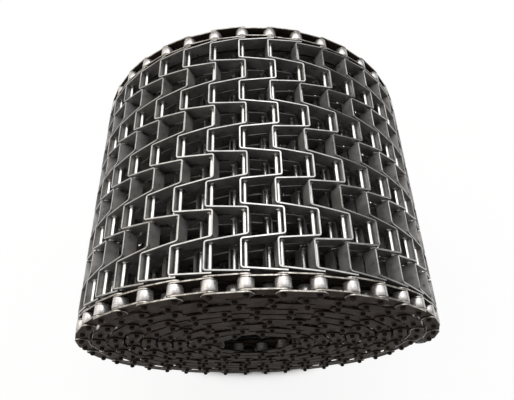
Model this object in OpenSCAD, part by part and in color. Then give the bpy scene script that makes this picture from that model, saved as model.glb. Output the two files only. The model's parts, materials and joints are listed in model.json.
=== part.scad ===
// Roll of chain-edge flat-wire conveyor belt: flat strips bent to a square wave,
// hinged on cross rods, with a roller chain along each edge, wound into a spiral.
// The roll lies on its side with its axis along Y; the free end is over the right flank.

/* [Belt] */
// Chain pitch, centre to centre of the cross rods
pitch = 25.4; // [21.2:0.1:32]
// Number of mesh rows across the belt (odd)
rows = 9; // [5:2:13]
// Spacing of the mesh rows across the belt
row_w = 24.6; // [18:0.1:32]
// Thickness of the flat strip
strip_t = 1.3; // [0.8:0.1:1.6]
// Height of the flat strip, on edge
strip_h = 12; // [8:0.5:13]
// Sideways shift of a leg from crest to crest, which lets neighbours nest
leg_shift = 3.5; // [3:0.1:5]
// Sideways shift of the two end legs
end_leg_shift = 2.6; // [2.4:0.1:3]
// Gap between a crest and the rod's hole line beside it
crest_gap = 0.25; // [0.1:0.05:1]
// Bend radius of the strip's centre line
bend_r = 1.7; // [1:0.1:2.2]
// Metal of an end leg beyond its rod's hole
end_margin = 1.4; // [1:0.1:3]
// Diameter of the cross rods
rod_d = 4; // [3:0.1:4.8]
// Length that the rods stand out of the edge chains, up to their riveted heads
rod_out = 1.4; // [0.6:0.1:3]
// Height of the riveted heads on the rods
rivet_h = 1.6; // [1:0.1:2]
// Extra radius of the riveted heads
rivet_lip = 0.7; // [0.4:0.05:1]

/* [Edge chains] */
// Roller diameter
roller_d = 12; // [10:0.1:13]
// Roller width
roller_w = 8; // [6:0.1:9]
// Height of the chain side plates
plate_h = 11.6; // [10:0.1:12]
// Thickness of the chain side plates
plate_t = 1.3; // [1:0.1:1.6]
// Wall of the bushes under the rollers
bush_wall = 0.9; // [0.7:0.1:1.2]
// Distance from a chain's outer side plate to the strip's end leg
edge_gap = 0.6; // [0.3:0.1:3]

/* [Roll] */
// Number of links in the belt, counted along it
links = 228; // [130:2:228]
// Radius of the first rod at the core
core_r = 38; // [38:0.1:90]
// The link that the roll lies on, counted back from the free end
rest_link = 31; // [26:1:36]

/* [Clearances] */
// Radial clearance of a bush on its rod
bush_clearance = 0.06; // [0.03:0.01:0.1]
// Radial clearance of a roller on its bush
roller_clearance = 0.1; // [0.05:0.01:0.2]
// Radial clearance of the strip's holes on a rod
hole_clearance = 0.2; // [0.1:0.05:0.3]
// Side clearance between roller and plates, and between inner and outer plates
side_clearance = 0.15; // [0.1:0.05:0.3]
// Least gap between two wound layers
layer_gap = 0.2; // [0.1:0.05:3]

/* [Hidden] */
$fn = 32;
// links of the free tail, and of the outer turns that carry their strips and rods
tail_links = 5;
meshed_links = 60;
// facets of a strip's bend
bend_facets = 2;

rod_r = rod_d / 2;
hole_r = rod_r + hole_clearance;
plate_r = plate_h / 2;
roller_r = roller_d / 2;
link_r = max(plate_r, roller_r, strip_h / 2);
// distances beyond a rod: a crest's centre line, and the tip of an end leg
crest_out = hole_r + crest_gap + strip_t / 2;
leg_end = hole_r + end_margin;
bush_bore_r = rod_r + bush_clearance;
bush_r = bush_bore_r + bush_wall;
// distances from a chain's middle plane
inner_plate_y = roller_w / 2 + side_clearance;
outer_plate_y = inner_plate_y + plate_t + side_clearance;
plate_end_y = outer_plate_y + plate_t;
// half the mesh width at the end legs' middle, and the chains' middle planes
mesh_half = rows * row_w / 2;
end_leg_slope = end_leg_shift / (pitch + 2 * crest_out);
end_leg_tip = end_leg_slope * (pitch / 2 + leg_end) + strip_t / 2;
chain_y = mesh_half + end_leg_tip + edge_gap + plate_end_y;

// ---- where the rods lie: a spiral with a straight chord of one pitch between rods ----
// a chord of the innermost layer dips this much below the rods' circle
core_dip = core_r - sqrt(core_r ^ 2 - (pitch / 2) ^ 2);
layer_pitch = 2 * link_r + core_dip + layer_gap;
function spiral_r(turned) = core_r + layer_pitch * turned / 360;
// angle of the next rod: the law of cosines, refined three times
function chord_step(r, r2) = acos((r * r + r2 * r2 - pitch * pitch) / (2 * r * r2));
function next_turned(turned, guess, tries) = tries == 0 ? turned + guess :
  next_turned(turned, chord_step(spiral_r(turned), spiral_r(turned + guess)), tries - 1);
turns = [for (i = 0, a = 0; i <= links;
  i = i + 1, a = next_turned(a, 2 * asin(pitch / 2 / spiral_r(a)), 3)) a];
// the spiral before it is turned, clockwise from the top, and the turn that lays the rest link flat
function spiral_xz(i, turned_by) =
  spiral_r(turns[i]) * [sin(turns[i] + turned_by), cos(turns[i] + turned_by)];
function direction(v) = atan2(v[1], v[0]);
lying = links - rest_link;
turned_by = direction(spiral_xz(lying + 1, 0) - spiral_xz(lying, 0)) - 180;
rods_xz = [for (i = [0:links]) spiral_xz(i, turned_by)];
xs = [for (p = rods_xz) p[0]];
zs = [for (p = rods_xz) p[1]];
axis_x = -(min(xs) + max(xs)) / 2;
axis_z = link_r - min(zs);

function is_inner(i) = (links - 1 - i) % 2 == 0;
// direction of link i in the XZ plane; the last rod's link goes on straight
function heading(i) = i == links ? heading(i - 1) : direction(rods_xz[i + 1] - rods_xz[i]);

// puts children at rod i
module at_rod(i) {
  translate([axis_x + rods_xz[i][0], 0, axis_z + rods_xz[i][1]]) children();
}
// puts children at rod i with x along link i and z outwards
module on_link(i) {
  at_rod(i) rotate([0, -heading(i), 0]) children();
}
// a cylinder along Y from y1 to y2
module along_y(r, y1, y2) {
  translate([0, y1, 0]) rotate([-90, 0, 0]) cylinder(r = r, h = y2 - y1);
}

// ---- the strip ----
function unit(v) = v / norm(v);
function left_of(v) = [-v[1], v[0]];
end_leg_y = mesh_half + end_leg_slope * (pitch / 2 + leg_end);
// corners of the centre line, from the left end leg to the right one
strip_path = concat(
  [[pitch + leg_end, -end_leg_y]],
  [for (row = [0:rows - 1]) let (
      even = row % 2 == 0,
      x = even ? -crest_out : pitch + crest_out,
      y1 = row == 0 ? end_leg_shift / 2 : leg_shift / 2,
      y2 = row == rows - 1 ? end_leg_shift / 2 : leg_shift / 2)
    each [[x, row * row_w - mesh_half + y1], [x, (row + 1) * row_w - mesh_half - y2]]],
  [[pitch + leg_end, end_leg_y]]);

// a point of the path moved sideways by d, on the mitre at a corner
function side_point(p, i, d) =
  i == 0 ? p[0] + left_of(unit(p[1] - p[0])) * d :
  i == len(p) - 1 ? p[i] + left_of(unit(p[i] - p[i - 1])) * d :
  let (n1 = left_of(unit(p[i] - p[i - 1])), n2 = left_of(unit(p[i + 1] - p[i])), m = unit(n1 + n2))
  p[i] + m * d / (m * n1);

// signed angle that the path turns through at corner i
function turn_angle(p, i) = let (u = unit(p[i] - p[i - 1]), v = unit(p[i + 1] - p[i]))
  atan2(u[0] * v[1] - u[1] * v[0], u * v);
function turned(v, a) = [v[0] * cos(a) - v[1] * sin(a), v[0] * sin(a) + v[1] * cos(a)];
// the strip's surface at corner i on the side at distance d: a mitre, or an arc in a few facets
function bend_points(p, i, d, facets) =
  facets == 0 || i == 0 || i == len(p) - 1 ? [side_point(p, i, d)] :
  let (
    turn = turn_angle(p, i),
    side = sign(turn),
    centre = side_point(p, i, side * bend_r),
    spoke = left_of(unit(p[i] - p[i - 1])) * (d - side * bend_r))
  [for (k = [0:facets]) centre + turned(spoke, turn * k / facets)];
module square_wave(facets) {
  n = len(strip_path);
  polygon(concat(
    [for (i = [0:n - 1]) each bend_points(strip_path, i, strip_t / 2, facets)],
    [for (i = [n - 1:-1:0]) let (side = bend_points(strip_path, i, -strip_t / 2, facets), m = len(side))
      each [for (k = [m - 1:-1:0]) side[k]]]));
}
module strip(facets) {
  difference() {
    linear_extrude(strip_h, center = true) square_wave(facets);
    for (x = [0, pitch])
      translate([x, 0, 0]) along_y(hole_r, -chain_y, chain_y);
  }
}

// ---- rods, pins, plates, bushes and rollers ----
// half profile of a riveted head, from its flat underside outwards
module rivet_profile() {
  intersection() {
    square([rod_r + rivet_lip, rivet_h]);
    translate([0, rivet_h - head_r]) circle(r = head_r);
  }
}
head_r = ((rod_r + rivet_lip) ^ 2 + rivet_h ^ 2) / (2 * rivet_h);
module rivet(y, side) {
  translate([0, y, 0]) rotate([-90 * side, 0, 0]) rotate_extrude() rivet_profile();
}
rod_end_y = chain_y + plate_end_y + rod_out;
module rod() {
  along_y(rod_r, -rod_end_y, rod_end_y);
  rivet(rod_end_y, 1);
  rivet(-rod_end_y, -1);
}
// the two ends of a rod, without its length across the mesh
module pin_ends() {
  for (side = [-1, 1]) {
    from = chain_y - plate_end_y;
    along_y(rod_r, min(side * from, side * rod_end_y), max(side * from, side * rod_end_y));
    rivet(side * rod_end_y, side);
  }
}
module side_plate(y, hole_r) {
  translate([0, y + plate_t / 2, 0]) rotate([90, 0, 0]) linear_extrude(plate_t) difference() {
    union() {
      circle(r = plate_r);
      translate([pitch, 0]) circle(r = plate_r);
      translate([0, -plate_r]) square([pitch, plate_h]);
    }
    if (hole_r > 0) {
      circle(r = hole_r);
      translate([pitch, 0]) circle(r = hole_r);
    }
  }
}
// the pair of plates of link i on one chain
module plate_pair(i, side) {
  y = (is_inner(i) ? inner_plate_y : outer_plate_y) + plate_t / 2;
  for (face = [-1, 1]) side_plate(side * chain_y + face * y, is_inner(i) ? bush_r : rod_r);
}
module bush(side) {
  difference() {
    along_y(bush_r, side * chain_y - inner_plate_y - plate_t, side * chain_y + inner_plate_y + plate_t);
    along_y(bush_bore_r, side * chain_y - plate_end_y, side * chain_y + plate_end_y);
  }
}
module roller(side) {
  difference() {
    along_y(roller_r, side * chain_y - roller_w / 2, side * chain_y + roller_w / 2);
    along_y(bush_r + roller_clearance, side * chain_y - roller_w, side * chain_y + roller_w);
  }
}

// ---- the wound part: links 0 to first_tail - 1, and the rod that the tail hangs on ----
first_tail = links - tail_links;
first_meshed = links - meshed_links;
steel = "silver";
module coil_strips() {
  color(steel) for (i = [first_meshed:first_tail - 1]) on_link(i) strip(0);
}
module coil_rods() {
  color("gainsboro") for (i = [first_meshed:first_tail]) on_link(i) rod();
}
module coil_pins() {
  color("gainsboro") for (i = [0:first_meshed - 1]) on_link(i) pin_ends();
}
module coil_plates(side, inner) {
  color("dimgray") for (i = [0:first_tail - 1]) if (is_inner(i) == inner) on_link(i) plate_pair(i, side);
}
module coil_left_inner_plates() { coil_plates(-1, true); }
module coil_left_outer_plates() { coil_plates(-1, false); }
module coil_right_inner_plates() { coil_plates(1, true); }
module coil_right_outer_plates() { coil_plates(1, false); }
// each inner link brings the bushes and rollers of its two rods
module coil_bushes() {
  color("gray") for (i = [1:first_tail - 1]) on_link(i) for (side = [-1, 1]) bush(side);
}
module coil_rollers(side) {
  color("lightgray") for (i = [1:first_tail - 1]) on_link(i) roller(side);
}
module coil_left_rollers() { coil_rollers(-1); }
module coil_right_rollers() { coil_rollers(1); }

// ---- the free tail: link n of 1 to 5, counted from the coil; odd ones are inner links ----
function tail(n) = first_tail + n - 1;
module tail_strip(n) {
  color(steel) on_link(tail(n)) strip(bend_facets);
}
module tail_plates(n) {
  color("dimgray") on_link(tail(n)) for (side = [-1, 1]) plate_pair(tail(n), side);
}
module tail_bushes(n) {
  color("gray") for (k = [0, 1], side = [-1, 1]) on_link(tail(n) + k) bush(side);
}
module tail_rods(n) {
  color("gainsboro") for (k = [0, 1]) on_link(tail(n) + k) rod();
}
// k is 0 for the roller at the link's coil end, the back, and 1 for the front
module tail_roller(n, side, k) {
  color("lightgray") on_link(tail(n) + k) roller(side);
}
module link_1_strip() { tail_strip(1); }
module link_1_plates() { tail_plates(1); }
module link_1_bushes() { tail_bushes(1); }
module link_1_left_back_roller() { tail_roller(1, -1, 0); }
module link_1_left_front_roller() { tail_roller(1, -1, 1); }
module link_1_right_back_roller() { tail_roller(1, 1, 0); }
module link_1_right_front_roller() { tail_roller(1, 1, 1); }
module link_2_strip() { tail_strip(2); }
module link_2_plates() { tail_plates(2); }
module link_2_rods() { tail_rods(2); }
module link_3_strip() { tail_strip(3); }
module link_3_plates() { tail_plates(3); }
module link_3_bushes() { tail_bushes(3); }
module link_3_left_back_roller() { tail_roller(3, -1, 0); }
module link_3_left_front_roller() { tail_roller(3, -1, 1); }
module link_3_right_back_roller() { tail_roller(3, 1, 0); }
module link_3_right_front_roller() { tail_roller(3, 1, 1); }
module link_4_strip() { tail_strip(4); }
module link_4_plates() { tail_plates(4); }
module link_4_rods() { tail_rods(4); }
module link_5_strip() { tail_strip(5); }
module link_5_plates() { tail_plates(5); }
module link_5_bushes() { tail_bushes(5); }
module link_5_left_back_roller() { tail_roller(5, -1, 0); }
module link_5_left_front_roller() { tail_roller(5, -1, 1); }
module link_5_right_back_roller() { tail_roller(5, 1, 0); }
module link_5_right_front_roller() { tail_roller(5, 1, 1); }

coil_strips();
coil_rods();
coil_pins();
coil_bushes();
coil_left_rollers();
coil_right_rollers();
coil_left_inner_plates();
coil_left_outer_plates();
coil_right_inner_plates();
coil_right_outer_plates();
link_1_strip();
link_1_plates();
link_1_bushes();
link_1_left_back_roller();
link_1_left_front_roller();
link_1_right_back_roller();
link_1_right_front_roller();
link_2_strip();
link_2_plates();
link_2_rods();
link_3_strip();
link_3_plates();
link_3_bushes();
link_3_left_back_roller();
link_3_left_front_roller();
link_3_right_back_roller();
link_3_right_front_roller();
link_4_strip();
link_4_plates();
link_4_rods();
link_5_strip();
link_5_plates();
link_5_bushes();
link_5_left_back_roller();
link_5_left_front_roller();
link_5_right_back_roller();
link_5_right_front_roller();
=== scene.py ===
"""Looks of a rolled-up chain-edge flat-wire conveyor belt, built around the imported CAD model.

Flat strips on edge are bent to a square wave and hinged on cross rods. A roller chain runs along each
edge, and the belt is wound into a spiral whose axis lies along Y. Everything is in metres.
"""

import json
import logging
import math
from collections.abc import Sequence
from dataclasses import dataclass, field, replace
from enum import Enum
from functools import cached_property
from itertools import product

import bpy
import numpy as np
from mathutils import Matrix, Vector


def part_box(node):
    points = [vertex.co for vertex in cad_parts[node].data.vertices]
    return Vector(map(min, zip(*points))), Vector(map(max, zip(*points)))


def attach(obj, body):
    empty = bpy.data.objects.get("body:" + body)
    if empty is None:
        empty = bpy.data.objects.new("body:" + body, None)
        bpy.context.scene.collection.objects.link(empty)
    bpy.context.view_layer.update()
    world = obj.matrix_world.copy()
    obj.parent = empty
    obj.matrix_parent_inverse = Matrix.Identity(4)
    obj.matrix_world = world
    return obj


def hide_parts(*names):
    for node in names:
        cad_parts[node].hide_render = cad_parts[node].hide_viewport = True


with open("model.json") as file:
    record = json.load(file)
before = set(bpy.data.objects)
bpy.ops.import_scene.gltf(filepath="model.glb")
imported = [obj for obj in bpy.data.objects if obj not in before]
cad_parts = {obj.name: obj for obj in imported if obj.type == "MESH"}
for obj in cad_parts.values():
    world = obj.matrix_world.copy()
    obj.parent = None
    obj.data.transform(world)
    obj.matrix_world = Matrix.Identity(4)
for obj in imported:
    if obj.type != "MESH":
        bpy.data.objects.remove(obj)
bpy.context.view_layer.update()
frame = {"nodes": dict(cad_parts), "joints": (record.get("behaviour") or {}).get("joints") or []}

LOG = logging.getLogger("belt_roll")
MM = 0.001
# faces that meet at more than this angle are shaded with an edge between them
SHARP_EDGE = math.radians(35)
Array = np.ndarray


# ---- Surfaces worked out as arrays ----


@dataclass
class Shape:
    """A closed surface: its points, the corners of its faces one after another, and each face's finish.

    Attributes:
        points: Points, one per row, in metres.
        corners: Point numbers of every face's corners, face after face.
        counts: Number of corners of each face.
        finish: Number of each face's finish.
        uv: Distance along and across the surface, one row per point, in metres.
    """

    points: Array
    corners: Array
    counts: Array
    finish: Array
    uv: Array

    def starts(self) -> Array:
        """Place of each face's first corner."""
        return np.cumsum(self.counts) - self.counts

    def area_vectors(self) -> Array:
        """Area of each face times its normal: half the sum of the cross products of its corners in turn.

        Returns:
            One vector per face.
        """
        starts = self.starts()
        after = np.arange(1, len(self.corners) + 1)
        after[starts + self.counts - 1] = starts
        a, b = self.points[self.corners], self.points[self.corners[after]]
        return np.add.reduceat(np.cross(a, b), starts) / 2

    def normals(self) -> Array:
        """Unit normal of each face."""
        areas = self.area_vectors()
        return areas / np.linalg.norm(areas, axis=1, keepdims=True)

    def centres(self) -> Array:
        """Mean of each face's corners."""
        sums = np.add.reduceat(self.points[self.corners], self.starts())
        return sums / self.counts[:, None]

    def outward(self) -> "Shape":
        """The surface with its faces outwards: turned round if they enclose a negative volume.

        Returns:
            The same surface, or the one that is turned round.
        """
        volume = np.sum(self.centres() * self.area_vectors())
        if volume >= 0:
            return self
        return replace(
            self, corners=self.corners[::-1], counts=self.counts[::-1], finish=self.finish[::-1]
        )

    def refinished(self, chosen: Array, number: int) -> "Shape":
        """The same surface with one finish on the chosen faces.

        Args:
            chosen: True for each face that changes.
            number: The finish that those faces get.

        Returns:
            The surface with its new finishes.
        """
        return replace(self, finish=np.where(chosen, number, self.finish))

    def repeated(self, turns: Array, places: Array) -> "Shape":
        """Copies of the surface, each point p of copy m at turns[m] p + places[m].

        Args:
            turns: One 3 x 3 rotation per copy.
            places: One place per copy.

        Returns:
            All the copies as one surface.
        """
        copies = len(places)
        points = np.einsum("mij,nj->mni", turns, self.points) + places[:, None, :]
        shifts = np.arange(copies)[:, None] * len(self.points)
        return Shape(
            points.reshape(-1, 3),
            (self.corners[None, :] + shifts).ravel(),
            np.tile(self.counts, copies),
            np.tile(self.finish, copies),
            np.tile(self.uv, (copies, 1)),
        )

    @staticmethod
    def joined(shapes: Sequence["Shape"]) -> "Shape":
        """Several surfaces as one.

        Args:
            shapes: The surfaces.

        Returns:
            All their faces, with their own finish numbers.
        """
        shifts = np.cumsum([0] + [len(s.points) for s in shapes[:-1]])
        return Shape(
            np.concatenate([s.points for s in shapes]),
            np.concatenate([s.corners + shift for s, shift in zip(shapes, shifts)]),
            np.concatenate([s.counts for s in shapes]),
            np.concatenate([s.finish for s in shapes]),
            np.concatenate([s.uv for s in shapes]),
        )


SIDES, CAPS = 0, 1


def ring_surface(rings: Array, closed: bool = False, uv: Array | None = None) -> Shape:
    """Joins rings of points into a closed surface.

    Face (i, j) is the quad between points j and j + 1 of rings i and i + 1, counted round. Where the last
    ring doesn't join the first, each end ring is filled with one flat face, the cap.

    Args:
        rings: Points as rings x points per ring x 3.
        closed: Whether the last ring joins the first.
        uv: Distances along and across for each point, as rings x points per ring x 2.

    Returns:
        The surface, faces outwards, with finish SIDES on its quads and CAPS on its caps.
    """
    count, size = rings.shape[:2]
    i, j = np.meshgrid(np.arange(count if closed else count - 1), np.arange(size), indexing="ij")
    i_next, j_next = (i + 1) % count, (j + 1) % size
    quads = np.stack([i * size + j, i_next * size + j, i_next * size + j_next, i * size + j_next], -1)
    corners, counts = quads.ravel(), np.full(i.size, 4)
    finish = np.full(i.size, SIDES)
    if not closed:
        caps = [np.arange(size), np.arange(count * size - 1, (count - 1) * size - 1, -1)]
        corners = np.concatenate([corners, *caps])
        counts = np.concatenate([counts, [size, size]])
        finish = np.concatenate([finish, [CAPS, CAPS]])
    flat_uv = np.zeros((count * size, 2)) if uv is None else uv.reshape(-1, 2)
    return Shape(rings.reshape(-1, 3), corners, counts, finish, flat_uv).outward()


def turned_profile(profile: Array, segments: int) -> Array:
    """Rings of a profile turned about the Y axis.

    The point (r, y) of the profile goes to (r sin a, y, r cos a) for each angle a round the axis.

    Args:
        profile: Rows of radius and Y.
        segments: Number of steps round the axis.

    Returns:
        Rings as profile points x segments x 3.
    """
    angle = np.arange(segments) * 2 * np.pi / segments
    radius, y = profile[:, :1], profile[:, 1:]
    return np.stack(
        [radius * np.sin(angle), np.broadcast_to(y, (len(profile), segments)), radius * np.cos(angle)], -1
    )


def turns_from_x(angle: Array, towards: int) -> Array:
    """Rotations that turn the X axis towards another axis t.

    The point (x, t) goes to (x cos a - t sin a, x sin a + t cos a) for each angle a.

    Args:
        angle: The angles, in radians.
        towards: 1 for the Y axis, 2 for the Z axis.

    Returns:
        One 3 x 3 rotation per angle.
    """
    turns = np.tile(np.eye(3), (len(angle), 1, 1))
    turns[:, 0, 0] = turns[:, towards, towards] = np.cos(angle)
    turns[:, towards, 0] = np.sin(angle)
    turns[:, 0, towards] = -np.sin(angle)
    return turns


def add_object(name: str, data: bpy.types.ID) -> bpy.types.Object:
    """Puts a mesh or a camera into the scene.

    Args:
        name: Name of the object.
        data: The mesh or the camera.

    Returns:
        The new object.
    """
    obj = bpy.data.objects.new(name, data)
    bpy.context.scene.collection.objects.link(obj)
    return obj


# ---- Finishes ----


def linear(hex_colour: str) -> tuple[float, float, float, float]:
    """Turns an sRGB colour to linear.

    Args:
        hex_colour: A value such as "#8A8782".

    Returns:
        Linear red, green, blue and an alpha of 1.
    """
    srgb = np.array([int(hex_colour[k : k + 2], 16) for k in (1, 3, 5)]) / 255
    rgb = np.where(srgb <= 0.04045, srgb / 12.92, ((srgb + 0.055) / 1.055) ** 2.4)
    return (*map(float, rgb), 1.0)


def add_node(
    tree: bpy.types.NodeTree, kind: str, inputs: dict | None = None, **settings: object
) -> bpy.types.Node:
    """Adds a node with its settings, and sets or links its inputs.

    Args:
        tree: The node tree.
        kind: The node's type, without the ShaderNode that all of them start with.
        inputs: Socket name or number to a value, or to the output socket that feeds it.
        **settings: Properties of the node itself.

    Returns:
        The new node.
    """
    node = tree.nodes.new("ShaderNode" + kind)
    for name, value in settings.items():
        setattr(node, name, value)
    for socket, value in (inputs or {}).items():
        if isinstance(value, bpy.types.NodeSocket):
            tree.links.new(value, node.inputs[socket])
        else:
            node.inputs[socket].default_value = value
    return node


def empty_tree(owner: bpy.types.Material | bpy.types.World) -> bpy.types.NodeTree:
    """Gives a new material or world a node tree without the default nodes.

    Args:
        owner: The material or world.

    Returns:
        Its empty tree.
    """
    owner.use_nodes = True
    owner.node_tree.nodes.clear()
    return owner.node_tree


class Grain(Enum):
    """Which way the marks of a surface's making run."""

    ROLLED = "along the strip"
    DRAWN = "along the rod"
    TURNED = "round the axis"
    STAMPED = "every way"


@dataclass(frozen=True)
class SteelFinish:
    """A steel surface: two tones in patches, stains, and fine marks that run one way.

    Attributes:
        name: The real material and how its surface was made.
        tone: Main sRGB colour.
        second_tone: Colour of the patches.
        stain: Colour of oil and handling stains.
        stain_share: How much of the surface the stains take, 0 to 1.
        metallic: 1 for bare metal, less under an oxide or oil film.
        roughness: Lowest and highest roughness.
        patch_mm: Size of the patches.
        grain: Which way the fine marks run.
        grain_mm: Width of the fine marks. They are drawn about five times coarser than real ones, to show.
        depth_mm: Height of the fine marks.
        specular: Reflection level of a finish that isn't bare metal.
        mark_length: Length of a mark that runs one way, in its own widths.
        specks_per_patch: How many times finer the stains' noise is than that of the patches.
        patch_noise: Noise values at which the main tone and the second one are pure.
        mark_noise: Noise values at the lowest and the highest roughness.
        stain_noise: Noise value at which a stain starts when there are hardly any, how far that falls
            as they take the whole surface, and how far above it a stain is full.
    """

    name: str
    tone: str
    second_tone: str
    stain: str
    stain_share: float = 0.3
    metallic: float = 1.0
    roughness: tuple[float, float] = (0.25, 0.4)
    patch_mm: float = 12.0
    grain: Grain = Grain.STAMPED
    grain_mm: float = 0.4
    depth_mm: float = 0.02
    specular: float = 0.5
    mark_length: float = 40.0
    specks_per_patch: float = 4.0
    patch_noise: tuple[float, float] = (0.35, 0.65)
    mark_noise: tuple[float, float] = (0.3, 0.7)
    stain_noise: tuple[float, float, float] = (0.72, 0.35, 0.12)

    def grain_scale(self) -> tuple[float, float, float]:
        """Works out how dense the fine marks are on each axis.

        Returns:
            Marks per metre along X, Y and Z, or along the strip and across it.
        """
        across = 1 / (self.grain_mm * MM)
        along = across / self.mark_length
        return {
            Grain.ROLLED: (along, across, across),
            Grain.DRAWN: (across, along, across),
            Grain.TURNED: (along, across, along),
            Grain.STAMPED: (across, across, across),
        }[self.grain]

    def material(self) -> bpy.types.Material:
        """Builds the material.

        Returns:
            The procedural material, named for the finish.
        """
        material = bpy.data.materials.new(self.name)
        tree = empty_tree(material)
        place = add_node(tree, "TexCoord")
        along = place.outputs["UV" if self.grain is Grain.ROLLED else "Object"]
        marks = add_node(tree, "Mapping", {"Vector": along, "Scale": self.grain_scale()})
        grain, patch, speck = (
            add_node(tree, "TexNoise", {"Vector": vector, "Scale": scale, "Detail": detail})
            for vector, scale, detail in (
                (marks.outputs[0], 1.0, 3.0),
                (place.outputs["Object"], 1 / (self.patch_mm * MM), 2.0),
                (place.outputs["Object"], self.specks_per_patch / (self.patch_mm * MM), 5.0),
            )
        )
        low, high = self.patch_noise
        span = {"Value": patch.outputs[0], "From Min": low, "From Max": high}
        patch_share = add_node(tree, "MapRange", span, interpolation_type="SMOOTHSTEP")
        highest, fall, rise = self.stain_noise
        start = highest - fall * self.stain_share
        span = {"Value": speck.outputs[0], "From Min": start, "From Max": start + rise}
        stain_share = add_node(tree, "MapRange", span)
        colour = linear(self.tone)
        for share, over in ((patch_share, self.second_tone), (stain_share, self.stain)):
            layers = {0: share.outputs[0], 6: colour, 7: linear(over)}
            colour = add_node(tree, "Mix", layers, data_type="RGBA").outputs[2]
        low, high = self.mark_noise
        smoothest, roughest = self.roughness
        span = {"From Min": low, "From Max": high, "To Min": smoothest, "To Max": roughest}
        gloss = add_node(tree, "MapRange", {"Value": grain.outputs[0], **span})
        relief = add_node(tree, "Bump", {"Height": grain.outputs[0], "Distance": self.depth_mm * MM})
        shader = add_node(
            tree,
            "BsdfPrincipled",
            {
                "Base Color": colour,
                "Metallic": self.metallic,
                "Roughness": gloss.outputs[0],
                "Specular IOR Level": self.specular,
                "Normal": relief.outputs[0],
            },
        )
        add_node(tree, "OutputMaterial", {"Surface": shader.outputs[0]})
        return material


@dataclass(frozen=True)
class Finishes:
    """The belt's finishes, one material for each."""

    # cold-rolled carbon strip under a thin oil film: grey-brown, half dull, with faint marks along it
    strip_wall: SteelFinish = SteelFinish(
        "cold_rolled_strip_wall_oiled", "#908E8C", "#757371", "#4B4744", metallic=0.4,
        roughness=(0.3, 0.45), patch_mm=14.0, grain=Grain.ROLLED, grain_mm=0.35, depth_mm=0.012,
    )
    # the strip's slit edges, rubbed bright on the belt's track: near white where they face the light
    slit_edge: SteelFinish = SteelFinish(
        "slit_strip_edge_rubbed_bright", "#ABAAA8", "#989694", "#6E6963", stain_share=0.2,
        roughness=(0.16, 0.28), patch_mm=9.0, grain_mm=0.5, depth_mm=0.01,
    )
    # slit edges of the turns underneath: the slit edge painted dark as painted shade, since the turns over
    # them keep the light off, with a few darker stains
    shaded_slit_edge: SteelFinish = SteelFinish(
        "slit_strip_edge_dull_and_oiled", "#454240", "#393634", "#2B2826", stain_share=0.4, metallic=0.6,
        roughness=(0.32, 0.46), patch_mm=9.0, grain_mm=0.5, depth_mm=0.01,
    )
    # the burr that the punch leaves round a rod hole, burnished by the rod: a small light ring
    hole_rim: SteelFinish = SteelFinish(
        "punched_hole_rim_burnished", "#DEDCDA", "#C9C7C4", "#938E88", stain_share=0.1,
        roughness=(0.16, 0.28), patch_mm=5.0, grain_mm=0.5, depth_mm=0.01,
    )
    # cold-drawn bright wire: the smoothest surface here, with faint lines along its length
    rod: SteelFinish = SteelFinish(
        "cold_drawn_bright_rod", "#CFCECC", "#BDBBB8", "#8A8680", stain_share=0.15,
        roughness=(0.2, 0.34), patch_mm=18.0, grain=Grain.DRAWN, grain_mm=0.3, depth_mm=0.008,
    )
    # the rod's riveted head, upset cold: a brown oxide tone, painted as dark as the plate faces with hardly
    # any reflection as painted shade on the roll's end faces, so only a spot on its crown glints
    rivet_head: SteelFinish = SteelFinish(
        "cold_upset_rivet_head_oxidised", "#332C27", "#27221E", "#1C1815", stain_share=0.5, metallic=0.0,
        roughness=(0.3, 0.45), patch_mm=3.0, specular=0.02,
    )
    # stamped and hardened chain plate wiped with oil: a brown oxide tone, painted near black with hardly
    # any reflection as painted shade, since the roll's end faces turn away from the light
    plate_face: SteelFinish = SteelFinish(
        "hardened_plate_brown_oxide_oiled", "#39312B", "#2A241F", "#4A3F36", stain_share=0.4, metallic=0.0,
        roughness=(0.36, 0.56), patch_mm=10.0, grain_mm=0.5, specular=0.01,
    )
    # the plate's sheared edge on the outermost turn and the tail, bare bright steel; the turns underneath
    # get it as a painted-shade copy
    plate_edge: SteelFinish = SteelFinish(
        "sheared_plate_edge", "#B5B1AA", "#86817A", "#463F38", stain_share=0.45,
        roughness=(0.24, 0.42), patch_mm=6.0, grain_mm=0.5,
    )
    # the same edge on the turns underneath, painted dark brown as painted shade, since the turns over them
    # keep the light off
    shaded_plate_edge: SteelFinish = SteelFinish(
        "sheared_plate_edge_brown_oiled", "#3A3129", "#2C241E", "#1E1712", stain_share=0.45, metallic=0.3,
        roughness=(0.4, 0.55), patch_mm=6.0, grain_mm=0.5, specular=0.1,
    )
    # roller, turned then tumbled: satin, with faint rings and a straw and blue tinge from hardening
    roller: SteelFinish = SteelFinish(
        "turned_and_tumbled_roller", "#C9C6C4", "#B4B1AF", "#8A7F76", stain_share=0.25, metallic=0.65,
        roughness=(0.24, 0.29), patch_mm=7.0, grain=Grain.TURNED, grain_mm=0.3, depth_mm=0.002,
    )
    # bush, ground outside, with an oily film
    bush: SteelFinish = SteelFinish(
        "ground_bush_oiled", "#9A958E", "#7A756F", "#4A433C", stain_share=0.35,
        patch_mm=6.0, grain=Grain.TURNED, depth_mm=0.01,
    )


# ---- Where the links lie ----


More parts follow.
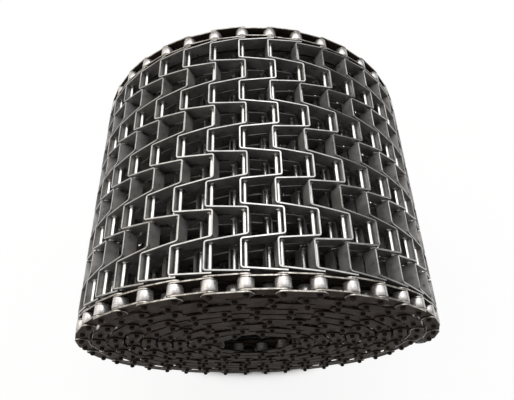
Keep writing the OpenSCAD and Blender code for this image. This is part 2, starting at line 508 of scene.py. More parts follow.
@dataclass(frozen=True)
class Roll:
    """The wound belt: a spiral with a straight chord of one pitch between neighbouring rods.

    Attributes:
        pitch: Distance between the rods.
        links: Number of links in the belt.
        core_radius: Radius of the first rod.
        link_radius: Half the height of a link.
        layer_gap: Least gap between two wound layers.
        rest_link: The link that the roll lies on, counted back from the free end.
        tail_links: Links of the free tail, each a body of its own.
        outer_links: Links counted back from the free end that are drawn finely.
        top_links: Links counted back from the free end that nothing lies on, the outermost turn.
    """

    pitch: float = 25.4 * MM
    links: int = 228
    core_radius: float = 38 * MM
    link_radius: float = 6 * MM
    layer_gap: float = 0.2 * MM
    rest_link: int = 31
    tail_links: int = 5
    outer_links: int = 60
    top_links: int = 42

    @property
    def first_tail(self) -> int:
        """Number of the first link of the tail."""
        return self.links - self.tail_links

    @property
    def first_outer(self) -> int:
        """Number of the first link of the outer turns."""
        return self.links - self.outer_links

    @property
    def first_top(self) -> int:
        """Number of the first link of the outermost turn."""
        return self.links - self.top_links

    @property
    def tail(self) -> list[tuple[int, int]]:
        """Each free link's place in the tail, which its body's name has, with its link number."""
        return [(n + 1, self.first_tail + n) for n in range(self.tail_links)]

    @cached_property
    def spiral(self) -> Array:
        """Place of each rod about the roll's axis in the XZ plane, with the rest link flat underneath.

        A rod turned by the angle a from the first lies at the radius core + layer pitch x a / 360. The
        next angle follows from the law of cosines with the pitch as the chord, refined three times.

        Returns:
            Rows of X and Z, one more than there are links.
        """
        half = self.pitch / 2
        dip = self.core_radius - math.sqrt(self.core_radius**2 - half**2)
        growth = (2 * self.link_radius + dip + self.layer_gap) / (2 * math.pi)
        angles = [0.0]
        for _ in range(self.links):
            radius = self.core_radius + growth * angles[-1]
            step = 2 * math.asin(half / radius)
            for _ in range(3):
                far = self.core_radius + growth * (angles[-1] + step)
                step = math.acos((radius**2 + far**2 - self.pitch**2) / (2 * radius * far))
            angles.append(angles[-1] + step)
        turned = np.array(angles)
        radii = self.core_radius + growth * turned
        loose = np.stack([radii * np.sin(turned), radii * np.cos(turned)], -1)
        lying = self.links - self.rest_link
        along = loose[lying + 1] - loose[lying]
        settle = math.atan2(along[1], along[0]) - math.pi
        return np.stack([radii * np.sin(turned + settle), radii * np.cos(turned + settle)], -1)

    @cached_property
    def axis(self) -> Array:
        """X and Z of the roll's axis, from the hinge that the frame gives for the first tail rod."""
        hinge = next(joint for joint in frame["joints"] if joint["name"] == "link_1_hinge")["pos_m"]
        return np.array([hinge[0], hinge[2]]) - self.spiral[self.first_tail]

    @cached_property
    def rods(self) -> Array:
        """Place of each rod in the XZ plane."""
        return self.spiral + self.axis

    @cached_property
    def headings(self) -> Array:
        """Angle of each link in the XZ plane; past the last rod the last link's angle holds on.

        Returns:
            The angles from X towards Z, in radians.
        """
        along = np.diff(self.rods, axis=0)
        angles = np.arctan2(along[:, 1], along[:, 0])
        return np.append(angles, angles[-1])

    def placed(self, shape: Shape, numbers: Sequence[int]) -> Shape:
        """Copies of a link's surface, drawn with X along the link and Z outwards, on the numbered links.

        Each copy is turned from X towards Z by its link's heading and moved to the link's first rod.

        Args:
            shape: The surface about the link's first rod.
            numbers: Link numbers.

        Returns:
            All the copies as one surface.
        """
        chosen = np.asarray(numbers)
        x, z = self.rods[chosen].T
        places = np.stack([x, np.zeros_like(x), z], -1)
        return shape.repeated(turns_from_x(self.headings[chosen], 2), places)

    def is_inner(self, number: int) -> bool:
        """Whether the link has inner plates; the last one has."""
        return (self.links - 1 - number) % 2 == 0


@dataclass(frozen=True)
class Facets:
    """Facets of the shapes that every link repeats.

    Attributes:
        rounded_edges: Whether a strip's slit edges are drawn with their rounding.
        bend: Facets of a strip's bend.
        head: Points on the arc of a rod's head.
        rod: Sides of a rod.
        plate_end: Facets of a plate's half circle.
        shoulder: Points on the rounded end of a roller.
        roller: Sides of a roller.
    """

    rounded_edges: bool
    bend: int
    head: int
    rod: int
    plate_end: int
    shoulder: int
    roller: int


class Detail(Enum):
    """How finely a repeated shape is drawn: on the turns seen from outside, or on the deeper ones."""

    OUTER = Facets(rounded_edges=True, bend=3, head=6, rod=16, plate_end=10, shoulder=3, roller=24)
    CORE = Facets(rounded_edges=False, bend=1, head=3, rod=10, plate_end=5, shoulder=2, roller=12)


# ---- Pieces ----


@dataclass
class Bench:
    """Turns surfaces into pieces: gives them their materials and bodies.

    Attributes:
        finishes: The belt's finishes.
        materials: The materials made so far, by name.
    """

    finishes: Finishes = field(default_factory=Finishes)
    materials: dict[str, bpy.types.Material] = field(default_factory=dict)

    def material(self, finish: SteelFinish) -> bpy.types.Material:
        """The finish's material, made once.

        Args:
            finish: The finish.

        Returns:
            Its material.
        """
        if finish.name not in self.materials:
            self.materials[finish.name] = finish.material()
        return self.materials[finish.name]

    def piece(
        self,
        name: str,
        shape: Shape,
        finishes: Sequence[SteelFinish],
        body: str,
        slot: str,
        replaced: Sequence[str] = (),
    ) -> bpy.types.Object:
        """Makes one piece from a surface.

        Args:
            name: The piece's name.
            shape: Its surface, in place.
            finishes: Its finishes, in the order of the surface's finish numbers.
            body: The CAD body that it rides on.
            slot: The record's material slot; not used.
            replaced: The CAD nodes that it stands for.

        Returns:
            The new object.
        """
        mesh = bpy.data.meshes.new(name)
        mesh.vertices.add(len(shape.points))
        mesh.vertices.foreach_set("co", shape.points.ravel())
        mesh.loops.add(len(shape.corners))
        mesh.loops.foreach_set("vertex_index", shape.corners.astype(np.int32))
        mesh.polygons.add(len(shape.counts))
        mesh.polygons.foreach_set("loop_start", shape.starts().astype(np.int32))
        for finish in finishes:
            mesh.materials.append(self.material(finish))
        mesh.polygons.foreach_set("material_index", shape.finish.astype(np.int32))
        mesh.update(calc_edges=True)
        layer = mesh.uv_layers.new(name="along_and_across")
        layer.uv.foreach_set("vector", shape.uv[shape.corners].ravel())
        mesh.shade_smooth()
        mesh.set_sharp_from_angle(angle=SHARP_EDGE)
        obj = add_object(name, mesh)
        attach(obj, body)
        if replaced:
            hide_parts(*replaced)
        LOG.info("%s: %d faces on %s", name, len(shape.counts), body)
        return obj

    def drill(self, obj: bpy.types.Object, place: Array, radius: float, sides: int = 32) -> None:
        """Cuts a hole along Y right through a piece.

        Args:
            obj: The piece.
            place: X and Z of the hole.
            radius: Its radius.
            sides: Number of its facets.
        """
        reach = 2 * max(abs(corner[1]) for corner in obj.bound_box)
        rings = turned_profile(np.array([[radius, -reach], [radius, reach]]), sides)
        tool_shape = ring_surface(rings + np.array([place[0], 0, place[1]]))
        mesh = bpy.data.meshes.new("drill")
        faces = np.split(tool_shape.corners, tool_shape.starts()[1:])
        mesh.from_pydata(tool_shape.points.tolist(), [], [face.tolist() for face in faces])
        tool = add_object("drill", mesh)
        cut = obj.modifiers.new("rod_holes", "BOOLEAN")
        cut.operation = "DIFFERENCE"
        cut.solver = "EXACT"
        # a strip's hole rims lie partly inside its wall, so the cut has to sort out such overlaps as well
        cut.use_self = True
        cut.object = tool
        drilled = bpy.data.meshes.new_from_object(obj.evaluated_get(bpy.context.evaluated_depsgraph_get()))
        obj.modifiers.clear()
        obj.data = drilled
        obj.data.set_sharp_from_angle(angle=SHARP_EDGE)
        bpy.data.objects.remove(tool)

    def dress_node(self, node: str, finish: SteelFinish) -> None:
        """Gives a CAD node that stays a finish.

        Args:
            node: The node's name.
            finish: The finish.
        """
        obj = frame["nodes"][node]
        obj.data.materials.clear()
        obj.data.materials.append(self.material(finish))
        LOG.info("%s: CAD node finished as %s", node, finish.name)


@dataclass
class MeshStrips:
    """The flat strips, on edge and bent to a square wave across the belt.

    Attributes:
        roll: Where the links lie.
        bench: Makes the pieces.
        rows: Number of mesh rows across the belt.
        row_width: Spacing of the rows.
        thickness: Thickness of the strip.
        height: Height of the strip.
        leg_shift: Sideways shift of a leg from crest to crest.
        end_leg_shift: Sideways shift of the two end legs.
        crest_out: Distance of a crest's centre line beyond its rod.
        leg_end: Length of an end leg beyond its rod.
        bend_radius: Bend radius of the centre line.
        edge_rounding: Rounding of the slit edges.
        hole_radius: Radius of the rod holes.
        rim_radii: Radii of a hole's raised rim: its bore, its crest and its foot.
        rim_height: Height of the rim.
        rim_sides: Number of the rim's facets.
        edge_lean: Lean of a normal out of the belt's plane past which a face counts as slit edge.
    """

    roll: Roll
    bench: Bench
    rows: int = 9
    row_width: float = 24.6 * MM
    thickness: float = 1.3 * MM
    height: float = 12 * MM
    leg_shift: float = 3.5 * MM
    end_leg_shift: float = 2.6 * MM
    crest_out: float = 3.1 * MM
    leg_end: float = 3.6 * MM
    bend_radius: float = 1.7 * MM
    edge_rounding: float = 0.15 * MM
    hole_radius: float = 2.2 * MM
    rim_radii: tuple[float, float, float] = (2.15 * MM, 2.9 * MM, 3.05 * MM)
    rim_height: float = 0.5 * MM
    rim_sides: int = 8
    edge_lean: float = math.radians(30)

    def corners(self) -> Array:
        """Corners of the centre line in the link's XY plane, from the left end leg to the right one.

        Even rows have their crest behind the link's first rod and odd rows beyond its second. A crest
        stops short of its row's bounds by half a leg's shift.

        Returns:
            Rows of X and Y.
        """
        row = np.repeat(np.arange(self.rows), 2)
        is_far = np.tile([0, 1], self.rows)
        outermost = np.arange(2 * self.rows) % (2 * self.rows - 1) == 0
        shift = np.where(outermost, self.end_leg_shift, self.leg_shift) / 2
        x = np.where(row % 2 == 0, -self.crest_out, self.roll.pitch + self.crest_out)
        y = (row + is_far) * self.row_width - self.half_width + np.where(is_far == 1, -shift, shift)
        tip = [self.roll.pitch + self.leg_end, self.half_width + self.end_slope * self.tip_reach]
        return np.concatenate([[[tip[0], -tip[1]]], np.stack([x, y], -1), [tip]])

    @property
    def half_width(self) -> float:
        """Half the width of the mesh."""
        return self.rows * self.row_width / 2

    @property
    def end_slope(self) -> float:
        """Sideways run of an end leg for each metre along the belt."""
        return self.end_leg_shift / (self.roll.pitch + 2 * self.crest_out)

    @property
    def tip_reach(self) -> float:
        """Distance along the belt from a link's middle to the end leg's tip."""
        return self.roll.pitch / 2 + self.leg_end

    def centre_line(self, facets: int) -> tuple[Array, Array]:
        """The centre line with its bends as arcs in a few facets.

        At each inner corner the arc's centre lies on the corner's bisector, one bend radius from both
        legs, and the spoke to the first leg turns through the corner's angle.

        Args:
            facets: Facets of a bend.

        Returns:
            The points, and the unit normals to the left of the path, both points x 2.
        """
        corner = self.corners()
        along = np.diff(corner, axis=0)
        along /= np.linalg.norm(along, axis=1, keepdims=True)
        left = np.stack([-along[:, 1], along[:, 0]], -1)
        into, out = along[:-1], along[1:]
        turn = np.arctan2(into[:, 0] * out[:, 1] - into[:, 1] * out[:, 0], np.sum(into * out, 1))
        bisector = left[:-1] + left[1:]
        bisector /= np.sum(bisector * left[:-1], 1, keepdims=True)
        side = np.sign(turn)[:, None]
        centre = corner[1:-1] + bisector * side * self.bend_radius
        angle = turn[:, None] * np.arange(facets + 1) / facets
        cos, sin = np.cos(angle), np.sin(angle)
        nx, ny = left[:-1, :1], left[:-1, 1:]
        normal = np.stack([nx * cos - ny * sin, nx * sin + ny * cos], -1)
        arcs = centre[:, None, :] - normal * (side * self.bend_radius)[:, None, :]
        points = np.concatenate([corner[:1], arcs.reshape(-1, 2), corner[-1:]])
        normals = np.concatenate([left[:1], normal.reshape(-1, 2), left[-1:]])
        return points, normals

    def section(self, rounded: bool) -> Array:
        """Outline of the strip's section, a rectangle.

        Args:
            rounded: Whether each corner has its rounding, as one small facet.

        Returns:
            Rows of distance across and height.
        """
        half_t, half_h, cut = self.thickness / 2, self.height / 2, self.edge_rounding
        corner = [[half_t, half_h - cut], [half_t - cut, half_h]] if rounded else [[half_t, half_h]]
        upper = np.concatenate([corner, np.flip(corner, 0) * [-1, 1]])
        return np.concatenate([upper, -upper])

    def shape(self, detail: Detail) -> Shape:
        """One strip about its link's first rod.

        The point (d, h) of the section at the path's point p with normal n goes to (p + d n, h).

        Args:
            detail: How finely it is drawn.

        Returns:
            Its surface, with the slit edges and cut ends as the second finish.
        """
        path, normal = self.centre_line(detail.value.bend)
        section = self.section(detail.value.rounded_edges)
        flat = path[:, None, :] + section[None, :, :1] * normal[:, None, :]
        height = np.broadcast_to(section[None, :, 1:], (len(path), len(section), 1))
        length = np.concatenate([[0], np.cumsum(np.linalg.norm(np.diff(path, axis=0), axis=1))])
        along = np.broadcast_to(length[:, None, None], height.shape)
        shape = ring_surface(np.concatenate([flat, height], -1), uv=np.concatenate([along, height], -1))
        return shape.refinished(np.abs(shape.normals()[:, 2]) > math.sin(self.edge_lean), CAPS)

    def hole_rims(self) -> Shape:
        """The raised rims round the rod holes of one strip, about its link's first rod.

        A rim is a collar through the leg, turned about the leg's normal, that tapers where it stands
        proud of both faces. Leg k runs from corner 2k of the centre line to the next one, and a collar sits
        where it crosses each rod's X.

        Returns:
            The collars as one surface.
        """
        out, proud = self.thickness / 2, self.rim_height
        inner, crest, foot = self.rim_radii
        upper = np.array([[inner, out + proud], [crest, out + proud], [foot, out]])
        profile = np.concatenate([upper, upper[::-1] * [1, -1]])
        collar = ring_surface(turned_profile(profile, self.rim_sides), closed=True)
        corner = self.corners()
        start, end = corner[:-1:2], corner[1::2]
        slope = (end[:, 1] - start[:, 1]) / (end[:, 0] - start[:, 0])
        x = np.tile([0, self.roll.pitch], len(slope))
        slope, start = np.repeat(slope, 2), np.repeat(start, 2, axis=0)
        y = start[:, 1] + slope * (x - start[:, 0])
        places = np.stack([x, y, np.zeros_like(y)], -1)
        return collar.repeated(turns_from_x(np.arctan(slope), 1), places)

    def build(self) -> None:
        """Makes the strips of the core, the outer turns and the tail."""
        finishes = self.bench.finishes
        # the outermost turn and the tail keep bright slit edges; the turns underneath get the slit edges
        # painted dark as painted shade
        lit_edged = (finishes.strip_wall, finishes.slit_edge)
        covered = (finishes.strip_wall, finishes.shaded_slit_edge)
        place, piece = self.roll.placed, self.bench.piece
        top, first_tail = self.roll.first_top, self.roll.first_tail
        fine, rims = self.shape(Detail.OUTER), self.hole_rims()
        core = place(self.shape(Detail.CORE), range(self.roll.first_outer))
        piece("core_turn_strips", core, covered, "coil", "strip_steel")
        under = place(fine, range(self.roll.first_outer, top))
        piece("covered_turn_strips", under, covered, "coil", "strip_steel", ["coil_strips"])
        piece("top_turn_strips", place(fine, range(top, first_tail)), lit_edged, "coil", "strip_steel")
        coil_rims = place(rims, range(self.roll.first_outer, first_tail))
        piece("coil_hole_rims", coil_rims, (finishes.hole_rim,), "coil", "strip_steel")
        rimmed = (*lit_edged, finishes.hole_rim)
        whole = Shape.joined([fine, rims.refinished(rims.finish == SIDES, rimmed.index(finishes.hole_rim))])
        for n, number in self.roll.tail:
            body = f"link_{n}"
            strip = place(whole, [number])
            obj = piece(f"tail_strip_{n}", strip, rimmed, body, "strip_steel", [f"{body}_strip"])
            if n == self.roll.tail_links:
                self.bench.drill(obj, self.roll.rods[-1], self.hole_radius)


@dataclass
class CrossRods:
    """The rods that hinge the strips, with a riveted head at each end.

    Attributes:
        roll: Where the links lie.
        bench: Makes the pieces.
        plates_end: Distance from the middle to the outer plates' outer faces.
        radius: Radius of a rod.
        stand_out: Length of rod between those faces and the heads.
        head_height: Height of a riveted head.
        head_lip: Extra radius of a head.
        head_flat: Radius of the flat on a head's crown, as a share of the head's radius.
    """

    roll: Roll
    bench: Bench
    plates_end: float
    radius: float = 2 * MM
    stand_out: float = 1.4 * MM
    head_height: float = 1.6 * MM
    head_lip: float = 0.7 * MM
    head_flat: float = 0.2

    def profile(self, steps: int) -> Array:
        """Half profile of a rod: a head's arc from its flat to its lip, the neck, the shaft, and back.

        The arc's height over the lip at radius r is sqrt(R^2 - r^2) - (R - head height), where R is the
        radius of the sphere through the lip and the pole.

        Args:
            steps: Points on a head's arc.

        Returns:
            Rows of radius and Y.
        """
        lip = self.radius + self.head_lip
        ball = (lip**2 + self.head_height**2) / (2 * self.head_height)
        r = np.linspace(self.head_flat * lip, lip, steps)
        rise = np.sqrt(ball**2 - r**2) - (ball - self.head_height)
        base = self.plates_end + self.stand_out
        head = np.stack([r, base + rise], -1)
        neck = np.array([[self.radius, base], [self.radius, self.plates_end]])
        end = np.concatenate([head, neck])
        return np.concatenate([end, end[::-1] * [1, -1]])

    def shape(self, detail: Detail) -> Shape:
        """One rod, with its ends outside the plates as the second finish."""
        shape = ring_surface(turned_profile(self.profile(detail.value.head), detail.value.rod))
        return shape.refinished(np.abs(shape.centres()[:, 1]) > self.plates_end, CAPS)

    def build(self) -> None:
        """Makes the rods of the core, the outer turns and the tail."""
        finishes = (self.bench.finishes.rod, self.bench.finishes.rivet_head)
        first_outer, first_tail = self.roll.first_outer, self.roll.first_tail
        core = self.roll.placed(self.shape(Detail.CORE), range(first_outer))
        self.bench.piece("core_turn_rods", core, finishes, "coil", "rod_steel", ["coil_pins"])
        fine = self.shape(Detail.OUTER)
        outer = self.roll.placed(fine, range(first_outer, first_tail + 1))
        self.bench.piece("outer_turn_rods", outer, finishes, "coil", "rod_steel", ["coil_rods"])
        for n, number in self.roll.tail:
            if self.roll.is_inner(number):
                continue
            body = f"link_{n}"
            rods = self.roll.placed(fine, [number, number + 1])
            self.bench.piece(f"tail_rods_{n}", rods, finishes, body, "rod_steel", [f"{body}_rods"])


class Side(Enum):
    """The edge of the belt that a chain runs along, by the sign of its Y."""

    LEFT = -1
    RIGHT = 1


@dataclass
class EdgeChains:
    """The roller chain along each edge: side plates, bushes and rollers.

    Attributes:
        roll: Where the links lie.
        bench: Makes the pieces.
        chain_y: Distance of a chain's middle plane from the belt's middle.
        plate_height: Height of a side plate.
        plate_thickness: Thickness of a side plate.
        plate_rounding: Rounding of a side plate's edges.
        inner_plate_y: Distance of an inner plate's near face from the chain's middle plane.
        outer_plate_y: The same for an outer plate.
        bush_bore_radius: Bore of a bush.
        bush_radius: Outside radius of a bush.
        roller_radius: Radius of a roller.
        roller_bore_radius: Bore of a roller.
        roller_width: Width of a roller.
        roller_rounding: Rounding of a roller's ends.
        bush_sides: Number of a bush's facets.
    """

    roll: Roll
    bench: Bench
    chain_y: float
    plate_height: float = 11.6 * MM
    plate_thickness: float = 1.3 * MM
    plate_rounding: float = 0.2 * MM
    inner_plate_y: float = 4.15 * MM
    outer_plate_y: float = 5.6 * MM
    bush_bore_radius: float = 2.06 * MM
    bush_radius: float = 2.96 * MM
    roller_radius: float = 6 * MM
    roller_bore_radius: float = 3.06 * MM
    roller_width: float = 8 * MM
    roller_rounding: float = 0.55 * MM
    bush_sides: int = 10

    def outline(self, inset: float, steps: int) -> Array:
        """A side plate's outline, straight sides with a half circle about each rod, as rows of X and Z.

        Args:
            inset: Distance inside the plate's own outline.
            steps: Steps of a half circle.

        Returns:
            The outline's points.
        """
        radius = self.plate_height / 2 - inset
        angle = np.linspace(-np.pi / 2, np.pi / 2, steps + 1)
        front = np.stack([self.roll.pitch + radius * np.cos(angle), radius * np.sin(angle)], -1)
        back = np.stack([-radius * np.cos(angle), -radius * np.sin(angle)], -1)
        return np.concatenate([front, back])

    def plate(self, y: float, detail: Detail) -> Shape:
        """One side plate, its faces as the second finish.

        Args:
            y: Place of its middle.
            detail: How finely it is drawn.

        Returns:
            Its surface.
        """
        half, cut = self.plate_thickness / 2, self.plate_rounding
        layers = [(-half, cut), (cut - half, 0), (half - cut, 0), (half, cut)]
        rings = []
        for depth, inset in layers:
            x, z = self.outline(inset, detail.value.plate_end).T
            rings.append(np.stack([x, np.full_like(x, y + depth), z], -1))
        return ring_surface(np.array(rings))

    def plates(self, inner: bool, sides: Sequence[Side], detail: Detail) -> Shape:
        """The pairs of plates of one link on the given sides of the belt.

        Args:
            inner: Whether the link has inner plates.
            sides: The chains' sides.
            detail: How finely they are drawn.

        Returns:
            Their surfaces.
        """
        reach = (self.inner_plate_y if inner else self.outer_plate_y) + self.plate_thickness / 2
        middles = [side.value * self.chain_y + face * reach for side in sides for face in (-1, 1)]
        return Shape.joined([self.plate(y, detail) for y in middles])

    def ring(self, upper: Array, side: Side, facets: int) -> Shape:
        """A ring about a link's first rod, the same on both sides of its chain's middle plane.

        Args:
            upper: The part of its profile beyond that plane, as rows of radius and Y.
            side: The chain's side.
            facets: Number of facets round the ring.

        Returns:
            Its surface.
        """
        profile = np.concatenate([upper, upper[::-1] * [1, -1]])
        rings = turned_profile(profile, facets) + [0, side.value * self.chain_y, 0]
        return ring_surface(rings, closed=True)

    def roller(self, side: Side, detail: Detail) -> Shape:
        """One roller: a ring whose profile is a rectangle with rounded outer corners.

        Args:
            side: The chain's side.
            detail: How finely it is drawn.

        Returns:
            Its surface about a link's first rod.
        """
        half, cut = self.roller_width / 2, self.roller_rounding
        angle = np.linspace(0, np.pi / 2, detail.value.shoulder)
        middle = [self.roller_radius - cut, half - cut]
        shoulder = np.stack([np.cos(angle), np.sin(angle)], -1) * cut + middle
        upper = np.concatenate([shoulder, [[self.roller_bore_radius, half]]])
        return self.ring(upper, side, detail.value.roller)

    def bush(self, side: Side) -> Shape:
        """One bush: a plain ring from outer face to outer face of the inner plates.

        Args:
            side: The chain's side.

        Returns:
            Its surface about a link's first rod.
        """
        half = self.inner_plate_y + self.plate_thickness
        upper = np.array([[self.bush_radius, half], [self.bush_bore_radius, half]])
        return self.ring(upper, side, self.bush_sides)

    def build_coil(self) -> None:
        """Makes the chains of the wound part."""
        finishes = self.bench.finishes
        # the outermost turn and the tail keep bright plate edges; the turns underneath get the plate edges
        # painted dark as painted shade
        lit_edged = (finishes.plate_edge, finishes.plate_face)
        covered = (finishes.shaded_plate_edge, finishes.plate_face)
        place, piece = self.roll.placed, self.bench.piece
        turns = {
            "core": (Detail.CORE, range(self.roll.first_outer), covered),
            "covered": (Detail.OUTER, range(self.roll.first_outer, self.roll.first_top), covered),
            "top": (Detail.OUTER, range(self.roll.first_top, self.roll.first_tail), lit_edged),
        }
        for side, (turn, (detail, numbers, plate_finishes)) in product(Side, turns.items()):
            side_name = side.name.lower()
            start = f"{turn}_turn_{side_name}"
            for inner, kind in ((True, "inner"), (False, "outer")):
                chosen = [n for n in numbers if self.roll.is_inner(n) == inner]
                plates = place(self.plates(inner, [side], detail), chosen)
                nodes = [f"coil_{side_name}_{kind}_plates"] if turn == "top" else []
                piece(f"{start}_{kind}_plates", plates, plate_finishes, "coil", "plate_steel", nodes)
            rollers = place(self.roller(side, detail), [n for n in numbers if n > 0])
            nodes = [f"coil_{side_name}_rollers"] if turn == "top" else []
            piece(f"{start}_rollers", rollers, (finishes.roller,), "coil", "roller_steel", nodes)
        bushes = Shape.joined([self.bush(side) for side in Side])
        bushes = place(bushes, range(1, self.roll.first_tail))
        piece("coil_bush_sleeves", bushes, (finishes.bush,), "coil", "bush_steel", ["coil_bushes"])

    def build_tail(self) -> None:
        """Makes the chains of the five free links, and finishes the CAD nodes that stay."""
        finishes = self.bench.finishes
        lit_edged = (finishes.plate_edge, finishes.plate_face)
        place, piece = self.roll.placed, self.bench.piece
        for n, number in self.roll.tail:
            inner = self.roll.is_inner(number)
            body = f"link_{n}"
            plates = place(self.plates(inner, list(Side), Detail.OUTER), [number])
            obj = piece(f"tail_plates_{n}", plates, lit_edged, body, "plate_steel", [f"{body}_plates"])
            if n == self.roll.tail_links:
                self.bench.drill(obj, self.roll.rods[-1], self.bush_radius)
            if not inner:
                continue
            self.bench.dress_node(f"{body}_bushes", finishes.bush)
            for side, (k, end) in product(Side, enumerate(("back", "front"))):
                side_name = side.name.lower()
                node = f"{body}_{side_name}_{end}_roller"
                name = f"tail_{side_name}_roller_{n}_{end}"
                roller = place(self.roller(side, Detail.OUTER), [number + k])
                piece(name, roller, (finishes.roller,), node, "roller_steel", [node])

    def build(self) -> None:
        """Makes both chains."""
        self.build_coil()
        self.build_tail()


# ---- Studio ----


@dataclass(frozen=True)
class Glow:
    """A soft patch of light on the studio dome.

    Attributes:
        towards: Direction of its middle; it needn't be of unit length.
        full: Half angle within which it is at full strength, in degrees.
        fades: Half angle at which it ends, in degrees.
        strength: Its strength.
        colour: Its sRGB colour.
        stretch: How many times wider it is along X than the round patch of these angles.
    """

    towards: tuple[float, float, float]
    full: float
    fades: float
    strength: float
    colour: str
    stretch: float = 1.0


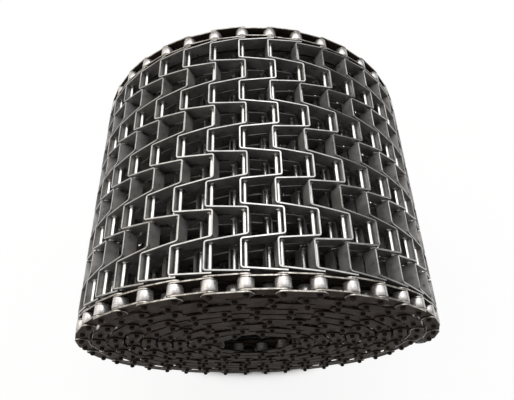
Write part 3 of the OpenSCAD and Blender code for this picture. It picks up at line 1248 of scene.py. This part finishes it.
@dataclass(frozen=True)
class Studio:
    """A white floor under a dim dome with soft patches of light, and the camera.

    Attributes:
        roll: The roll, whose chain pitch is the unit of the camera's distances.
        near_chain_y: Y of the near chain's middle plane.
        sensor_width: Width of the camera's sensor, in millimetres.
        lens: Its focal length, in millimetres.
        shift: Its shift to the right and up, in sensor widths.
        elevation: Angle of the camera above the horizon, in radians.
        azimuth: Its turn about Z from the -Y side, in radians.
        tilt: Its turn about its own axis, in radians.
        distance: Distance from the point it looks at, in pitches.
        aim: That point's X and Z from the roll's axis, in pitches, at the near chain.
        nearest: Least distance at which it sees anything, in metres.
        ambient: Strength of the dome apart from its patches of light.
        glows: The patches: two overhead and behind the roll, the second as wide as a long softbox, and a
            slightly warm one at its left.
        floor_half: Half the width of the floor, in metres.
        floor_glow: Share of its own white that the floor shows under an open sky.
        shade_reach: Distance within which things shut out the floor's sky.
        shade_sky: Shares of open sky at which the floor shows none of its own white and all of it.
    """

    roll: Roll
    near_chain_y: float
    sensor_width: float = 36.0
    lens: float = 32.554
    shift: tuple[float, float] = (-0.01031, -0.00467)
    elevation: float = 1.0586
    azimuth: float = -0.0335
    tilt: float = 0.0016
    distance: float = 8.2938
    aim: tuple[float, float] = (0.2461, 11.1656)
    nearest: float = 0.01
    ambient: float = 0.24
    glows: tuple[Glow, ...] = (
        Glow((0.1, 0.48, 0.85), full=10, fades=26, strength=2.0, colour="#FFFFFF"),
        Glow((0.1, 0.5, 0.8), full=14, fades=36, strength=1.5, colour="#FFFFFF", stretch=4.0),
        Glow((-0.95, 0.1, 0.3), full=25, fades=65, strength=1.0, colour="#FFF7EE"),
    )
    floor_half: float = 12.0
    floor_glow: float = 0.9
    shade_reach: float = 60 * MM
    shade_sky: tuple[float, float] = (0.42, 0.6)

    def camera(self) -> None:
        """Places the camera above the near end, looking down along the roll."""
        data = bpy.data.cameras.new("camera")
        data.sensor_width, data.lens = self.sensor_width, self.lens
        data.shift_x, data.shift_y = self.shift
        data.clip_start = self.nearest
        level = math.cos(self.elevation)
        back = Vector(
            (math.sin(self.azimuth) * level, -math.cos(self.azimuth) * level, math.sin(self.elevation))
        )
        pitch = self.roll.pitch
        x, z = self.roll.axis + np.array(self.aim) * pitch
        target = Vector((x, self.near_chain_y, z))
        right = (-back).cross(Vector((0, 0, 1))).normalized()
        up = right.cross(-back)
        turn = Matrix((right, up, back)).transposed() @ Matrix.Rotation(self.tilt, 3, "Z")
        camera = add_object("camera", data)
        camera.matrix_world = Matrix.Translation(target + back * self.distance * pitch) @ turn.to_4x4()
        bpy.context.scene.camera = camera

    def world(self) -> None:
        """Makes the dome.

        A patch's share falls from 1 to 0 with the cosine of the angle from its middle, once the
        direction's X is divided by the patch's stretch.
        """
        world = bpy.data.worlds.new("studio_dome")
        bpy.context.scene.world = world
        tree = empty_tree(world)
        place = add_node(tree, "TexCoord")
        dome = {"Color": linear("#FFFFFF"), "Strength": self.ambient}
        light = add_node(tree, "Background", dome).outputs[0]
        for glow in self.glows:
            squeeze = Vector((1 / glow.stretch, 1, 1))
            middle = (Vector(glow.towards) * squeeze).normalized()
            view = {0: place.outputs["Generated"], 1: squeeze}
            narrowed = add_node(tree, "VectorMath", view, operation="MULTIPLY")
            ray = add_node(tree, "VectorMath", {0: narrowed.outputs[0]}, operation="NORMALIZE")
            cosine = add_node(tree, "VectorMath", {0: ray.outputs[0], 1: middle}, operation="DOT_PRODUCT")
            end, start = (math.cos(math.radians(angle)) for angle in (glow.fades, glow.full))
            span = {"From Min": end, "From Max": start, "To Max": glow.strength}
            share = {"Value": cosine.outputs["Value"], **span}
            level = add_node(tree, "MapRange", share, interpolation_type="SMOOTHSTEP")
            lit = {"Color": linear(glow.colour), "Strength": level.outputs[0]}
            patch = add_node(tree, "Background", lit)
            light = add_node(tree, "AddShader", {0: light, 1: patch.outputs[0]}).outputs[0]
        add_node(tree, "OutputWorld", {"Surface": light})

    def floor(self) -> None:
        """Lays the white floor, which shows the camera most of its own white and keeps the shadow.

        Its own white fades where the roll shuts nearly all of the sky out, as it does right under the roll.
        """
        mesh = bpy.data.meshes.new("floor")
        corners = np.array([(-1, -1, 0), (1, -1, 0), (1, 1, 0), (-1, 1, 0)]) * self.floor_half
        mesh.from_pydata(corners.tolist(), [], [(0, 1, 2, 3)])
        # uncoated paper: an even white that doesn't shine
        material = bpy.data.materials.new("matt_white_paper")
        tree = empty_tree(material)
        paper = add_node(tree, "BsdfDiffuse", {"Color": linear("#F4F4F4")})
        glow = add_node(tree, "Emission", {"Color": linear("#FFFFFF"), "Strength": 1.0})
        ray = add_node(tree, "LightPath")
        seen = ray.outputs["Is Camera Ray"]
        for kind in ("Is Glossy Ray", "Is Transmission Ray"):
            either = {0: seen, 1: ray.outputs[kind]}
            seen = add_node(tree, "Math", either, operation="MAXIMUM").outputs[0]
        sky = add_node(tree, "AmbientOcclusion", {"Distance": self.shade_reach})
        low, high = self.shade_sky
        span = {"Value": sky.outputs["AO"], "From Min": low, "From Max": high, "To Max": self.floor_glow}
        shown = add_node(tree, "MapRange", span, interpolation_type="SMOOTHSTEP")
        share = add_node(tree, "Math", {0: seen, 1: shown.outputs[0]}, operation="MULTIPLY")
        mix = add_node(tree, "MixShader", {0: share.outputs[0], 1: paper.outputs[0], 2: glow.outputs[0]})
        add_node(tree, "OutputMaterial", {"Surface": mix.outputs[0]})
        mesh.materials.append(material)
        floor = add_object("floor", mesh)

    def build(self) -> None:
        """Sets up the studio."""
        self.camera()
        self.world()
        self.floor()
        bpy.context.scene.view_settings.view_transform = "Standard"


def main() -> None:
    """Builds the belt and the studio."""
    logging.basicConfig(level=logging.INFO, format="%(message)s")
    roll = Roll()
    bench = Bench()
    low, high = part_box("link_1_left_back_roller")
    chain_y = -(low.y + high.y) / 2
    MeshStrips(roll, bench).build()
    chains = EdgeChains(roll, bench, chain_y)
    plates_end = chain_y + chains.outer_plate_y + chains.plate_thickness
    CrossRods(roll, bench, plates_end).build()
    chains.build()
    Studio(roll, -chain_y).build()


if __name__ == "__main__":
    main()
